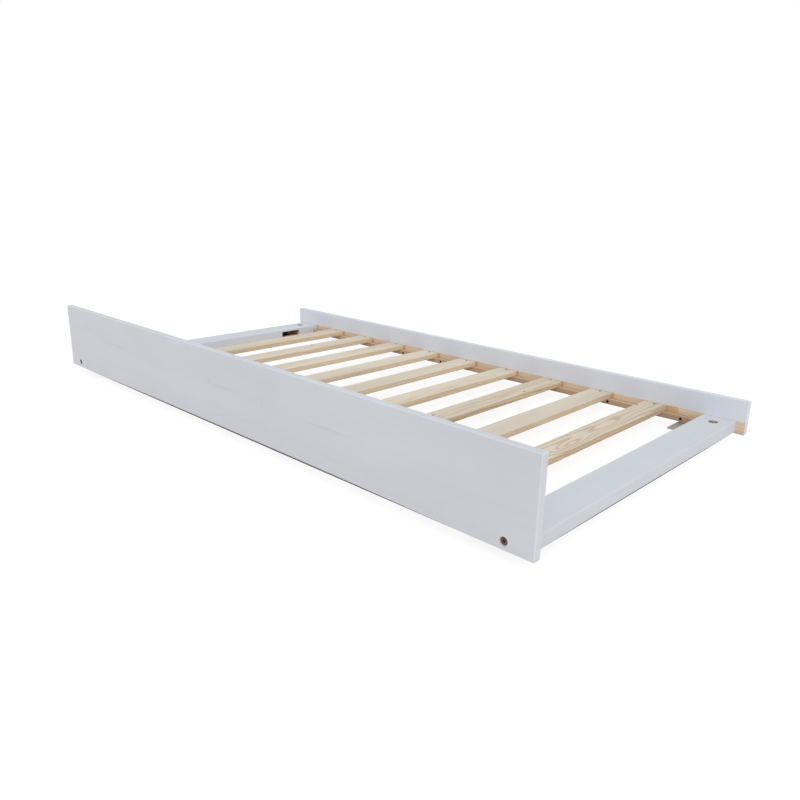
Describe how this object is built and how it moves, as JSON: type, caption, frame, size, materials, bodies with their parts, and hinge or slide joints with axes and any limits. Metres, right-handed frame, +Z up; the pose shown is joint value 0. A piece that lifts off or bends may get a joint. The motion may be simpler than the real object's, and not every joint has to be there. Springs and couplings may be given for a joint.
{
  "type": "trundle bed",
  "caption": "Low pull-out slatted bed with a tall front panel, a low back board, flat end rails and recessed fixed rollers.",
  "frame": {"origin": "on the floor, under the middle of the bed's bounding box", "axes": "+X along the bed's length to the right as seen from the front panel, +Y from the front panel to the back board, +Z up"},
  "size_m": [1.9, 1.014, 0.225],
  "materials": {
    "white_paint": "white satin paint over pine, faint grain",
    "pine": "bare sanded pine",
    "bronze_bolt": "dark bronze plating",
    "dark_steel": "black phosphate",
    "zinc_steel": "dull zinc plating",
    "wheel_plastic": "black moulded nylon"
  },
  "bodies": {
    "root": {"back_board": "white_paint", "back_bolts": "bronze_bolt", "back_ledger": "pine", "back_ledger_screws": "dark_steel", "back_slat_screws": "dark_steel", "corner_nuts": "zinc_steel", "corner_plate_back_left": "zinc_steel", "corner_plate_back_right": "zinc_steel", "corner_plate_front_left": "zinc_steel", "corner_plate_front_right": "zinc_steel", "corner_plate_screws": "zinc_steel", "crescent_washers": "zinc_steel", "front_bolts": "bronze_bolt", "front_ledger": "pine", "front_ledger_screws": "dark_steel", "front_panel": "white_paint", "front_slat_screws": "dark_steel", "left_end_rail": "white_paint", "rail_dowels": "pine", "right_end_rail": "white_paint", "roller_axle_back_left": "dark_steel", "roller_axle_back_right": "dark_steel", "roller_axle_front_left": "dark_steel", "roller_axle_front_right": "dark_steel", "roller_plate_back_left": "zinc_steel", "roller_plate_back_right": "zinc_steel", "roller_plate_front_left": "zinc_steel", "roller_plate_front_right": "zinc_steel", "roller_plate_screws": "zinc_steel", "roller_washers": "dark_steel", "slat_1": "pine", "slat_2": "pine", "slat_3": "pine", "slat_4": "pine", "slat_5": "pine", "slat_6": "pine", "slat_7": "pine", "slat_8": "pine", "slat_9": "pine"},
    "wheel_front_left": {"roller_wheel_front_left": "wheel_plastic"},
    "wheel_front_right": {"roller_wheel_front_right": "wheel_plastic"},
    "wheel_back_left": {"roller_wheel_back_left": "wheel_plastic"},
    "wheel_back_right": {"roller_wheel_back_right": "wheel_plastic"}
  },
  "joints": [
    {"name": "wheel_front_left_spin", "type": "hinge", "parent": "root", "child": "wheel_front_left", "pos_m": [-0.872, -0.337, 0.02], "axis": [1, 0, 0], "continuous": true},
    {"name": "wheel_front_right_spin", "type": "hinge", "parent": "root", "child": "wheel_front_right", "pos_m": [0.872, -0.337, 0.02], "axis": [1, 0, 0], "continuous": true},
    {"name": "wheel_back_left_spin", "type": "hinge", "parent": "root", "child": "wheel_back_left", "pos_m": [-0.872, 0.337, 0.02], "axis": [1, 0, 0], "continuous": true},
    {"name": "wheel_back_right_spin", "type": "hinge", "parent": "root", "child": "wheel_back_right", "pos_m": [0.872, 0.337, 0.02], "axis": [1, 0, 0], "continuous": true}
  ]
}
